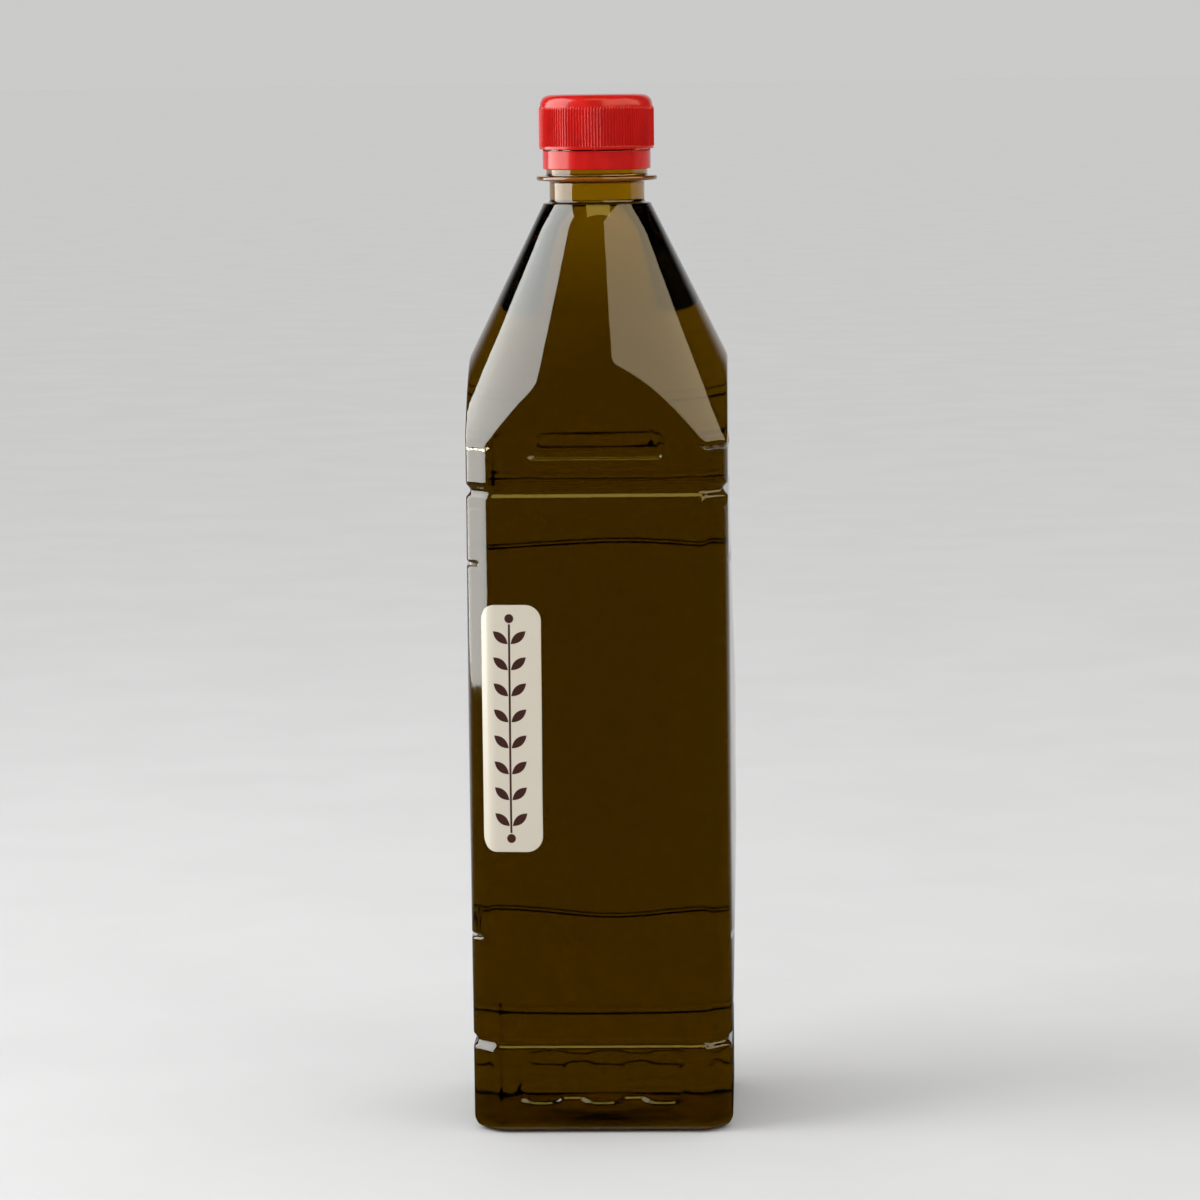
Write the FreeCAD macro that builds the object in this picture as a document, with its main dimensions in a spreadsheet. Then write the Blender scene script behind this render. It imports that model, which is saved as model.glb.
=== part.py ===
"""Litre bottle of olive oil: a square clear plastic bottle with a conical shoulder, filled with oil,
closed by a ribbed screw cap whose tamper band hangs below it, and with a small blank sticker that is
wrapped round one front corner.

The origin is the centre of the base, +Z is up, and the face that carries the sticker looks along -Y.
All sizes are in millimetres.
"""
import FreeCAD, Part
import math
import os

import Sketcher

doc = FreeCAD.newDocument("oil_bottle")
sheet = doc.addObject("Spreadsheet::Sheet", "Sizes")

SIZES = (
    # square body
    ("body_side", 70.0, "width of the body across two flat faces"),
    ("corner_leg", 6.0, "how far a corner flat runs back along each face"),
    ("wall", 0.7, "wall of the body"),
    ("base_round", 5.0, "radius between the faces and the base"),
    ("panel_bow", 1.3, "how far a tall panel swells out at its middle"),
    # grooves that run all round
    ("lower_groove_z", 24.6, "height of the lower groove"),
    ("waist_groove_z", 173.4, "height of the waist groove"),
    ("groove_half", 2.3, "half the height of either groove"),
    ("groove_deep", 1.1, "depth of either groove"),
    # base recess
    ("kick_dia", 52.0, "diameter of the round recess under the base"),
    ("kick_top", 38.0, "diameter of that recess's ceiling"),
    ("kick_rise", 2.0, "height of that recess"),
    # shoulder and neck
    ("shoulder_z", 248.5, "top of the conical shoulder"),
    ("shoulder_top", 29.2, "diameter of the shoulder at its top"),
    ("shoulder_slope", 0.495, "run of the shoulder for each unit of fall"),
    ("neck_dia", 25.7, "diameter of the neck under the support ring"),
    ("ring_dia", 32.7, "diameter of the support ring"),
    ("ring_z", 254.8, "underside of the support ring"),
    ("ring_thick", 1.2, "thickness of the support ring"),
    ("finish_dia", 27.4, "outside diameter of the neck inside the cap"),
    ("bore_dia", 21.7, "bore of the neck"),
    ("rim_z", 276.2, "top of the neck"),
    # slot pressed into each face
    ("slot_z", 183.4, "height of the slot's middle"),
    ("slot_long", 35.9, "length of the slot"),
    ("slot_tall", 2.8, "height of the slot"),
    ("slot_deep", 1.0, "depth of the slot"),
    # chain of three ovals pressed into each face near the base
    ("oval_z", 11.5, "height of the ovals' middle"),
    ("oval_long", 12.8, "length of an oval"),
    ("oval_tall", 7.2, "height of an oval"),
    ("oval_pitch", 16.7, "distance between the ovals"),
    ("oval_deep", 0.9, "depth of the ovals"),
    ("link_tall", 4.4, "height of the strip that links the ovals"),
    # two fine lines that bound the label field on the back and the sides
    ("field_low_z", 52.4, "height of the lower line"),
    ("field_high_z", 154.4, "height of the upper line"),
    ("field_line", 1.2, "height of either line"),
    ("field_deep", 0.35, "depth of either line"),
    # contents
    ("oil_z", 262.0, "level of the oil, in the neck behind the tamper band"),
    # cap
    ("cap_dia", 30.5, "diameter of the cap between its ribs"),
    ("cap_top", 277.8, "top of the cap"),
    ("cap_low", 263.2, "lower edge of the cap"),
    ("cap_round", 2.7, "radius between the cap's top and its skirt"),
    ("lip_dia", 31.0, "diameter of the plain lip at the foot of the cap"),
    ("lip_tall", 0.9, "height of that lip"),
    ("rib_count", 120, "number of ribs round the cap"),
    ("rib_high", 0.28, "how far a rib stands out"),
    ("rib_wide", 0.5, "width of a rib at its foot"),
    ("rib_bite", 0.25, "how deep a rib is rooted in the skirt"),
    ("rib_gap", 0.5, "plain skirt left over the ribs"),
    ("cap_play", 0.15, "clearance between the neck and the cap, all round"),
    # tamper band
    ("band_dia", 29.2, "diameter of the tamper band"),
    ("band_low", 257.8, "lower edge of the tamper band"),
    ("band_gap", 0.3, "gap between the band and the cap"),
    ("bridge_count", 8, "number of bridges that tie the band to the cap"),
    ("bridge_wide", 0.9, "width of a bridge"),
    # sticker
    ("sticker_low", 76.9, "lower edge of the sticker"),
    ("sticker_high", 143.4, "upper edge of the sticker"),
    ("sticker_right", 14.7, "distance of its right edge from the middle of the face"),
    ("sticker_wrap", 2.6, "how far it reaches round the corner, across the face"),
    ("sticker_round", 3.3, "radius of its corners"),
    ("sticker_thick", 0.12, "thickness of the sticker"),
)

for row, (alias, size, note) in enumerate(SIZES, start=1):
    sheet.set(f"A{row}", alias)
    sheet.set(f"B{row}", str(size))
    sheet.setAlias(f"B{row}", alias)
    sheet.set(f"C{row}", note)
doc.recompute()


def number(expression):
    """Give the present value of an expression in the sheet's aliases."""
    return float(sheet.evalExpression(expression))


def bind(thing, **links):
    """Tie properties to the sheet; a double underscore in a name stands for a dot."""
    for name, expression in links.items():
        thing.setExpression(name.replace("__", "."), expression)
    return thing


def add(kind, name, **links):
    """Make an object of the document with its sizes tied to the sheet."""
    return bind(doc.addObject(kind, name), **links)


def draw(sketch, corners, radii=None):
    """Fill a sketch with a closed outline.

    corners holds an expression for each coordinate of each corner, and radii gives the radius of
    the side that starts at a corner where that side is an arc that swells outward.
    """
    radii = radii or {}
    points = [FreeCAD.Vector(number(across), number(along), 0) for across, along in corners]
    count = len(points)
    for index, start in enumerate(points):
        end = points[(index + 1) % count]
        if index in radii:
            radius = number(radii[index])
            chord = end - start
            rise = radius - math.sqrt(radius ** 2 - (chord.Length / 2) ** 2)
            outward = FreeCAD.Vector(chord.y, -chord.x, 0).normalize()
            middle = (start + end) / 2 + outward * rise
            sketch.addGeometry(Part.Arc(start, middle, end), False)
        else:
            sketch.addGeometry(Part.LineSegment(start, end), False)
    for index in range(count):
        sketch.addConstraint(Sketcher.Constraint("Coincident", index - 1 if index else count - 1, 2, index, 1))
    for index, (across, along) in enumerate(corners):
        for kind, expression in (("DistanceX", across), ("DistanceY", along)):
            place = sketch.addConstraint(Sketcher.Constraint(kind, -1, 1, index, 1, number(expression)))
            sketch.setExpression(f"Constraints[{place}]", expression)
    for index, expression in radii.items():
        place = sketch.addConstraint(Sketcher.Constraint("Radius", index, number(expression)))
        sketch.setExpression(f"Constraints[{place}]", expression)
    return sketch


def eight_sides(inset):
    """Give the corners of a square with cut corners, inset from the body's outside, and its half side.

    The corner flats move in by the same distance as the faces.
    """
    half = f"(Sizes.body_side / 2 - ({inset}))"
    flat = f"({half} - Sizes.corner_leg + ({inset}) * {2 - math.sqrt(2):.6f})"
    corners = (
        (flat, f"-{half}"), (half, f"-{flat}"), (half, flat), (flat, half),
        (f"-{flat}", half), (f"-{half}", flat), (f"-{half}", f"-{flat}"), (f"-{flat}", f"-{half}"),
    )
    return corners, flat


def section(name, height, inset, bow=None):
    """Draw one level section of the body, whose four faces swell outward by bow."""
    corners, flat = eight_sides(inset)
    radii = {}
    if bow:
        radii = {side: f"({flat} * {flat} + ({bow}) * ({bow})) / (2 * ({bow}))" for side in (1, 3, 5, 7)}
    sketch = add("Sketcher::SketchObject", name, Placement__Base__z=height)
    return draw(sketch, corners, radii)


def loft(name, rows, ruled):
    """Join level sections, given as (height, inset, bow), into one solid."""
    solid = doc.addObject("Part::Loft", name)
    solid.Sections = [section(f"{name}_{index}", *row) for index, row in enumerate(rows)]
    solid.Solid = True
    solid.Ruled = ruled
    return solid


def fuse(name, *pieces):
    """Fuse objects into one."""
    whole = doc.addObject("Part::MultiFuse", name)
    whole.Shapes = list(pieces)
    whole.Refine = True
    return whole


def combine(kind, name, base, tool):
    """Cut or intersect one object with another."""
    result = doc.addObject(kind, name)
    result.Base = base
    result.Tool = tool
    result.Refine = True
    return result


def spread(name, tool):
    """Repeat a tool made for the front face on all four faces."""
    copies = []
    for quarter in range(4):
        copy = doc.addObject("Part::Compound", f"{name}_{quarter}")
        copy.Links = [tool]
        copy.Placement.Rotation = FreeCAD.Rotation(FreeCAD.Vector(0, 0, 1), 90 * quarter)
        copies.append(copy)
    whole = doc.addObject("Part::Compound", name)
    whole.Links = copies
    return whole


PANEL_FOOT = "Sizes.lower_groove_z + Sizes.groove_half"
PANEL_TALL = "(Sizes.waist_groove_z - Sizes.lower_groove_z - 2 * Sizes.groove_half)"
PANEL_SWELL = ((0.0, 0.0), (0.2, 0.65), (0.5, 1.0), (0.8, 0.65), (1.0, 0.0))


def panel(name, inset):
    """Make the tall swelling part between the two grooves."""
    rows = []
    for share, swell in PANEL_SWELL:
        height = f"{PANEL_FOOT} + {share} * {PANEL_TALL}"
        rows.append((height, inset, f"{swell} * Sizes.panel_bow" if swell else None))
    return loft(name, rows, False)


def recesses(name, inset):
    """Make the tools for the slot and the chain of ovals, grown by inset, on all four faces."""
    face = f"-(Sizes.body_side / 2) - 5"
    reach = "5 + {deep} + (" + inset + ")"
    slot_half = f"(Sizes.slot_tall / 2 + ({inset}))"
    slot_side = "(Sizes.slot_long / 2 - Sizes.slot_tall / 2)"
    slot_reach = reach.format(deep="Sizes.slot_deep")
    pieces = [add(
        "Part::Box", f"{name}_slot_bar",
        Length=f"2 * {slot_side}", Width=slot_reach, Height=f"2 * {slot_half}",
        Placement__Base__x=f"-{slot_side}", Placement__Base__y=face,
        Placement__Base__z=f"Sizes.slot_z - {slot_half}",
    )]
    for side in (-1, 1):
        end = add(
            "Part::Cylinder", f"{name}_slot_end",
            Radius=slot_half, Height=slot_reach,
            Placement__Base__x=f"{side} * {slot_side}", Placement__Base__y=face,
            Placement__Base__z="Sizes.slot_z",
        )
        end.Placement.Rotation = FreeCAD.Rotation(FreeCAD.Vector(1, 0, 0), -90)
        pieces.append(end)
    oval_reach = reach.format(deep="Sizes.oval_deep")
    for step in (-1, 0, 1):
        ring = add(
            "Part::Ellipse", f"{name}_oval_line",
            MajorRadius=f"Sizes.oval_long / 2 + ({inset})", MinorRadius=f"Sizes.oval_tall / 2 + ({inset})",
            Placement__Base__x=f"{step} * Sizes.oval_pitch", Placement__Base__y=face,
            Placement__Base__z="Sizes.oval_z",
        )
        ring.Placement.Rotation = FreeCAD.Rotation(FreeCAD.Vector(1, 0, 0), -90)
        oval = add("Part::Extrusion", f"{name}_oval", LengthFwd=oval_reach)
        oval.Base = ring
        oval.DirMode = "Custom"
        oval.Dir = FreeCAD.Vector(0, 1, 0)
        oval.Solid = True
        pieces.append(oval)
    link_half = f"(Sizes.link_tall / 2 + ({inset}))"
    pieces.append(add(
        "Part::Box", f"{name}_link",
        Length="2 * Sizes.oval_pitch", Width=oval_reach, Height=f"2 * {link_half}",
        Placement__Base__x="-Sizes.oval_pitch", Placement__Base__y=face,
        Placement__Base__z=f"Sizes.oval_z - {link_half}",
    ))
    return spread(f"{name}_all", fuse(f"{name}_front", *pieces))


def origin_part(body, role):
    """Find a plane or an axis of a body's own origin."""
    return next(part for part in body.Origin.OriginFeatures if part.Role == role)


def attach(body, name, role, **links):
    """Make a sketch on one of a body's own origin planes."""
    sketch = body.newObject("Sketcher::SketchObject", name)
    sketch.AttachmentSupport = (origin_part(body, role), [""])
    sketch.MapMode = "FlatFace"
    return bind(sketch, **links)


def turn_round(body, name, profile):
    """Turn a profile drawn on the XZ plane round the upright axis."""
    solid = body.newObject("PartDesign::Revolution", name)
    solid.Profile = profile
    solid.ReferenceAxis = (profile, ["V_Axis"])
    solid.Angle = 360
    return solid


def repeat_round(body, name, feature, count):
    """Repeat a feature round the upright axis."""
    doc.recompute()
    pattern = body.newObject("PartDesign::PolarPattern", name)
    pattern.Originals = [feature]
    pattern.Axis = (origin_part(body, "Z_Axis"), [""])
    pattern.Angle = 360
    bind(pattern, Occurrences=count)
    body.Tip = pattern
    return pattern


def edges_at(shape, height):
    """Name the edges of a shape that lie level at a height."""
    names = []
    for index, edge in enumerate(shape.Edges, start=1):
        box = edge.BoundBox
        if abs(box.ZMin - height) < 0.001 and abs(box.ZMax - height) < 0.001:
            names.append(f"Edge{index}")
    return names


def round_edges(body, name, feature, height, radius):
    """Round the level edges of a body that lie at a height."""
    doc.recompute()
    solid = body.newObject("PartDesign::Fillet", name)
    solid.Base = (feature, edges_at(feature.Shape, number(height)))
    return bind(solid, Radius=radius)


def base_block(name, inset):
    """Make the foot of the body, whose lower edges are rounded."""
    block = doc.addObject("PartDesign::Body", name)
    outline = attach(block, f"{name}_outline", "XY_Plane", AttachmentOffset__Base__z=inset)
    draw(outline, eight_sides(inset)[0])
    pad = block.newObject("PartDesign::Pad", f"{name}_pad")
    pad.Profile = outline
    bind(pad, Length=f"Sizes.base_round + 1 - ({inset})")
    round_edges(block, f"{name}_round", pad, inset, f"Sizes.base_round - ({inset})")
    return block


def body_form(name, inset):
    """Make the body from the base to the top of the shoulder, inset from the outside."""
    lower_rows = (
        ("Sizes.base_round + 1", inset, None),
        ("Sizes.lower_groove_z - Sizes.groove_half", inset, None),
        ("Sizes.lower_groove_z", f"({inset}) + Sizes.groove_deep", None),
        (PANEL_FOOT, inset, None),
    )
    upper_rows = (
        ("Sizes.waist_groove_z - Sizes.groove_half", inset, None),
        ("Sizes.waist_groove_z", f"({inset}) + Sizes.groove_deep", None),
        ("Sizes.waist_groove_z + Sizes.groove_half", inset, None),
        (f"Sizes.shoulder_z - ({inset})", inset, None),
    )
    stack = fuse(
        f"{name}_stack",
        base_block(f"{name}_base", inset),
        loft(f"{name}_lower", lower_rows, True),
        panel(f"{name}_panel", inset),
        loft(f"{name}_upper", upper_rows, True),
    )
    top = f"(Sizes.shoulder_top / 2 - ({inset}) * sqrt(1 + Sizes.shoulder_slope ^ 2))"
    cone = add(
        "Part::Cone", f"{name}_cone",
        Radius1=f"{top} + Sizes.shoulder_slope * Sizes.shoulder_z", Radius2=top, Height="Sizes.shoulder_z",
    )
    kick = add(
        "Part::Cone", f"{name}_kick",
        Radius1=f"Sizes.kick_dia / 2 + ({inset})", Radius2=f"Sizes.kick_top / 2 + ({inset})",
        Height="Sizes.kick_rise", Placement__Base__z=inset,
    )
    coned = combine("Part::Common", f"{name}_coned", stack, cone)
    kicked = combine("Part::Cut", f"{name}_kicked", coned, kick)
    return combine("Part::Cut", f"{name}_pressed", kicked, recesses(f"{name}_recess", inset))


def tube(name, low, high, diameter):
    """Make an upright round solid between two heights."""
    return add(
        "Part::Cylinder", name,
        Radius=f"({diameter}) / 2", Height=f"({high}) - ({low})", Placement__Base__z=low,
    )


# --- bottle: outer form, cavity, and the shell between them -------------------------------------
outer_body = body_form("outer", "0")
neck = tube("neck", "Sizes.shoulder_z - 1", "Sizes.ring_z", "Sizes.neck_dia")
ring = tube("support_ring", "Sizes.ring_z", "Sizes.ring_z + Sizes.ring_thick", "Sizes.ring_dia")
finish = tube("neck_finish", "Sizes.ring_z + Sizes.ring_thick", "Sizes.rim_z", "Sizes.finish_dia")
outer = fuse("outer_form", outer_body, neck, ring, finish)

cavity_body = body_form("cavity", "Sizes.wall")
bore = tube("bore", "Sizes.shoulder_z - Sizes.wall - 2", "Sizes.rim_z + 1", "Sizes.bore_dia")
cavity = fuse("cavity_form", cavity_body, bore)

field_bars = doc.addObject("Part::Compound", "field_bars")
field_bars.Links = [
    add(
        "Part::Box", f"field_bar_{place}",
        Length="Sizes.body_side + 20", Width="Sizes.body_side + 10 - Sizes.corner_leg", Height="Sizes.field_line",
        Placement__Base__x="-Sizes.body_side / 2 - 10",
        Placement__Base__y="-Sizes.body_side / 2 + Sizes.corner_leg",
        Placement__Base__z=f"Sizes.field_{place}_z - Sizes.field_line / 2",
    )
    for place in ("low", "high")
]
field_lines = combine("Part::Cut", "field_lines", field_bars, panel("field_floor", "Sizes.field_deep"))
lined = combine("Part::Cut", "outer_lined", outer, field_lines)
bottle = combine("Part::Cut", "bottle", lined, cavity)

# --- oil: what the cavity holds up to its level -------------------------------------------------
fill = add(
    "Part::Box", "fill",
    Length="Sizes.body_side * 2", Width="Sizes.body_side * 2", Height="Sizes.oil_z",
    Placement__Base__x="-Sizes.body_side", Placement__Base__y="-Sizes.body_side",
)
oil = combine("Part::Common", "oil", cavity, fill)

# --- cap: turned shell with a rounded top, a plain lip and fine upright ribs --------------------
CAP_BORE = "(Sizes.finish_dia / 2 + Sizes.cap_play)"
cap = doc.addObject("PartDesign::Body", "cap")
cap_outline = attach(cap, "cap_outline", "XZ_Plane")
draw(cap_outline, (
    ("0", "Sizes.rim_z"), (CAP_BORE, "Sizes.rim_z"), (CAP_BORE, "Sizes.cap_low"),
    ("Sizes.lip_dia / 2", "Sizes.cap_low"), ("Sizes.lip_dia / 2", "Sizes.cap_low + Sizes.lip_tall"),
    ("Sizes.cap_dia / 2", "Sizes.cap_low + Sizes.lip_tall"), ("Sizes.cap_dia / 2", "Sizes.cap_top"),
    ("0", "Sizes.cap_top"),
))
cap_shell = turn_round(cap, "cap_shell", cap_outline)

round_edges(cap, "cap_round", cap_shell, "Sizes.cap_top", "Sizes.cap_round")

rib_line = attach(
    cap, "rib_line", "XY_Plane", AttachmentOffset__Base__z="Sizes.cap_low + Sizes.lip_tall",
)
draw(rib_line, (
    ("Sizes.cap_dia / 2 - Sizes.rib_bite", "-Sizes.rib_wide / 2"),
    ("Sizes.cap_dia / 2", "-Sizes.rib_wide / 2"),
    ("Sizes.cap_dia / 2 + Sizes.rib_high", "0"),
    ("Sizes.cap_dia / 2", "Sizes.rib_wide / 2"),
    ("Sizes.cap_dia / 2 - Sizes.rib_bite", "Sizes.rib_wide / 2"),
))
rib = cap.newObject("PartDesign::Pad", "rib")
rib.Profile = rib_line
bind(rib, Length="Sizes.cap_top - Sizes.cap_round - Sizes.rib_gap - Sizes.cap_low - Sizes.lip_tall")
repeat_round(cap, "ribs", rib, "Sizes.rib_count")

# --- tamper band: thin ring tied to the cap by small bridges ------------------------------------
tamper_band = doc.addObject("PartDesign::Body", "tamper_band")
band_outline = attach(tamper_band, "band_outline", "XZ_Plane")
draw(band_outline, (
    (CAP_BORE, "Sizes.band_low"), ("Sizes.band_dia / 2", "Sizes.band_low"),
    ("Sizes.band_dia / 2", "Sizes.cap_low - Sizes.band_gap"), (CAP_BORE, "Sizes.cap_low - Sizes.band_gap"),
))
turn_round(tamper_band, "band_ring", band_outline)
bridge_line = attach(
    tamper_band, "bridge_line", "XY_Plane", AttachmentOffset__Base__z="Sizes.cap_low - 2 * Sizes.band_gap",
)
draw(bridge_line, (
    (f"{CAP_BORE} + 0.1", "-Sizes.bridge_wide / 2"), ("Sizes.band_dia / 2 - 0.1", "-Sizes.bridge_wide / 2"),
    ("Sizes.band_dia / 2 - 0.1", "Sizes.bridge_wide / 2"), (f"{CAP_BORE} + 0.1", "Sizes.bridge_wide / 2"),
))
bridge = tamper_band.newObject("PartDesign::Pad", "bridge")
bridge.Profile = bridge_line
bind(bridge, Length="2 * Sizes.band_gap")
repeat_round(tamper_band, "bridges", bridge, "Sizes.bridge_count")

# --- sticker: thin skin on the front face that wraps a little way round the left corner ---------
skin = combine("Part::Cut", "sticker_skin", panel("sticker_face", "-Sizes.sticker_thick"), outer)
STICKER_LEFT = "(Sizes.body_side / 2 - Sizes.corner_leg + Sizes.sticker_wrap)"
sticker_line = doc.addObject("Sketcher::SketchObject", "sticker_line")
sticker_line.Placement.Rotation = FreeCAD.Rotation(FreeCAD.Vector(1, 0, 0), 90)
draw(sticker_line, (
    (f"-{STICKER_LEFT} + Sizes.sticker_round", "Sizes.sticker_low"),
    ("-Sizes.sticker_right - Sizes.sticker_round", "Sizes.sticker_low"),
    ("-Sizes.sticker_right", "Sizes.sticker_low + Sizes.sticker_round"),
    ("-Sizes.sticker_right", "Sizes.sticker_high - Sizes.sticker_round"),
    ("-Sizes.sticker_right - Sizes.sticker_round", "Sizes.sticker_high"),
    (f"-{STICKER_LEFT} + Sizes.sticker_round", "Sizes.sticker_high"),
    (f"-{STICKER_LEFT}", "Sizes.sticker_high - Sizes.sticker_round"),
    (f"-{STICKER_LEFT}", "Sizes.sticker_low + Sizes.sticker_round"),
), {side: "Sizes.sticker_round" for side in (1, 3, 5, 7)})
sticker_block = add("Part::Extrusion", "sticker_block", LengthFwd="Sizes.body_side")
sticker_block.Base = sticker_line
sticker_block.DirMode = "Custom"
sticker_block.Dir = FreeCAD.Vector(0, -1, 0)
sticker_block.Solid = True
sticker = combine("Part::Common", "sticker", skin, sticker_block)

doc.recompute()

NODES = {"bottle": bottle, "oil": oil, "cap": cap, "tamper_band": tamper_band, "sticker": sticker}

for thing in doc.Objects:
    if "Invalid" in thing.State or "Error" in thing.State:
        raise RuntimeError(f"{thing.Name} did not recompute: {thing.State}")
for name, node in NODES.items():
    node.Label = name
    shape = node.Shape
    if shape.isNull() or not shape.isValid():
        raise RuntimeError(f"{name} has no valid shape")
    if len(shape.Solids) != 1:
        raise RuntimeError(f"{name} is {len(shape.Solids)} solids, not one")

os.makedirs("parts", exist_ok=True)
for name, node in NODES.items():
    node.Shape.exportStep(f"parts/{name}.step")
    box = node.Shape.optimalBoundingBox()
    print(f"{name}: {node.Shape.Volume / 1000:.2f} cm3, x {box.XMin:.2f} to {box.XMax:.2f}, "
          f"y {box.YMin:.2f} to {box.YMax:.2f}, z {box.ZMin:.2f} to {box.ZMax:.2f}")
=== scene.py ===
"""Looks for a litre bottle of olive oil: clear square bottle, oil, ribbed red cap, tamper band and sticker."""

import math

import bmesh
import bpy
import numpy as np
from bpy.props import FloatProperty, FloatVectorProperty, IntProperty, PointerProperty
from mathutils import Matrix, Vector


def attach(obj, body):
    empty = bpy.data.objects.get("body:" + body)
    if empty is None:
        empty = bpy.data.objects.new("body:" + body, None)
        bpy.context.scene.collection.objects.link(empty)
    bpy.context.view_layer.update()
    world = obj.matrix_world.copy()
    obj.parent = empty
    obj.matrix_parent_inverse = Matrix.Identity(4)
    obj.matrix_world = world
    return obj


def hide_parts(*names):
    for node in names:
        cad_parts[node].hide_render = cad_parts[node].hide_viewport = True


bl_info = {
    "name": "Olive Oil Bottle",
    "version": (1, 0, 0),
    "blender": (4, 5, 0),
    "location": "View3D > Sidebar > Oil Bottle",
    "description": "Builds a filled square oil bottle with its cap, band and sticker",
    "category": "Add Mesh",
}

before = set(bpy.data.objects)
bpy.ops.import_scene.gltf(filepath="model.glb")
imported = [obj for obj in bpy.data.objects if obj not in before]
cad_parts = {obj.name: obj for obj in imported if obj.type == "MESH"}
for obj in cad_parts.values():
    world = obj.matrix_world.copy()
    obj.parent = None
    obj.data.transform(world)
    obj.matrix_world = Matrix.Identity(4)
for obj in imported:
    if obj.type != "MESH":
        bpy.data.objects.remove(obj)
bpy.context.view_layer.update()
LEVEL = 0.85             # brightness of the room, where 1 is white
SEEN_THROUGH = 0.7       # share of the floor's own pale colour in what is seen through the bottle
GROOVE_SHARPNESS = 1.6   # power of a groove's cosine: more makes the groove narrower towards its bottom
OVAL_SQUARENESS = 2.8    # 2 gives an ellipse, more gives flatter sides
FULL_TURN = 2 * math.pi


def length(name, description, default):
    """Describe one length that a user may change."""
    return FloatProperty(name=name, description=description, default=default, unit="LENGTH", subtype="DISTANCE",
                         precision=5)


def colour(name, description, default):
    """Describe one colour that a user may change."""
    return FloatVectorProperty(name=name, description=description, default=default, size=3, min=0, max=1,
                               subtype="COLOR")


class BottleSizes(bpy.types.PropertyGroup):
    """Sizes of the blown bottle and its contents."""

    body_side: length("Body width", "Across two flat faces", 0.0700)
    corner_leg: length("Corner flat", "How far a corner flat runs back along each face", 0.0060)
    wall: length("Wall", "Thickness of the body's wall", 0.0007)
    base_round: length("Base radius", "Between the faces and the base", 0.0037)
    inner_round: length("Inner base radius", "The same inside, where the wall is thicker", 0.0021)
    panel_bow: length("Panel swell", "How far a tall panel swells out at its middle", 0.0013)
    panel_wave: length("Panel wave", "Unevenness of a tall panel's blown wall", 0.00018)
    lower_groove_z: length("Lower groove", "Height of the lower groove", 0.0246)
    waist_groove_z: length("Waist groove", "Height of the waist groove", 0.1734)
    groove_half: length("Groove half height", "Half the height of either groove", 0.0019)
    groove_deep: length("Groove depth", "Depth of either groove", 0.00115)
    kick_rise: length("Base recess", "Height of the recess under the base", 0.0020)
    kick_dia: length("Recess width", "Diameter of that recess at the base", 0.0520)
    kick_top: length("Recess ceiling", "Diameter of its ceiling", 0.0380)
    shoulder_z: length("Shoulder top", "Height of the shoulder's top", 0.2485)
    shoulder_top: length("Shoulder width", "Diameter of the shoulder at its top", 0.0292)
    shoulder_slope: FloatProperty(name="Shoulder slope", description="Run for each unit of fall", default=0.495)
    neck_dia: length("Neck", "Diameter of the neck under the ring", 0.0257)
    ring_dia: length("Support ring", "Diameter of the support ring", 0.0327)
    ring_z: length("Ring height", "Underside of the support ring", 0.2548)
    ring_thick: length("Ring thickness", "Thickness of the support ring", 0.0012)
    finish_dia: length("Neck finish", "Outside diameter of the neck inside the cap", 0.0274)
    bore_dia: length("Bore", "Bore of the neck", 0.0217)
    rim_z: length("Rim", "Top of the neck", 0.2762)
    slot_z: length("Slot height", "Height of the slot's middle", 0.1834)
    slot_long: length("Slot length", "Length of the slot", 0.0359)
    slot_tall: length("Slot width", "Height of the slot", 0.0028)
    slot_deep: length("Slot depth", "Depth of the slot", 0.0010)
    oval_z: length("Oval height", "Height of the ovals' middle", 0.0115)
    oval_long: length("Oval length", "Length of an oval", 0.0128)
    oval_tall: length("Oval width", "Height of an oval", 0.0072)
    oval_pitch: length("Oval pitch", "Distance between the ovals", 0.0167)
    oval_deep: length("Oval depth", "Depth of the ovals", 0.0009)
    link_tall: length("Link height", "Height of the strip that links the ovals", 0.0044)
    field_low_z: length("Field foot", "Height of the lower line of the label field", 0.0524)
    field_high_z: length("Field head", "Height of the upper line of the label field", 0.1544)
    field_line: length("Field line", "Height of either line", 0.0014)
    field_deep: length("Field line depth", "Depth of either line", 0.0010)
    field_sag: length("Field line sag", "How far a line wanders up and down across a face", 0.0010)
    edge_soft: length("Edge softness", "Rounding where the shoulder meets the body", 0.0005)
    corner_soft: length("Corner softness", "Rounding of the upright edges", 0.0013)
    oil_z: length("Oil level", "Level of the oil in the neck", 0.2620)
    oil_bite: length("Oil bite", "How far the oil reaches into the wall, so that no air is left", 0.0002)


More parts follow.
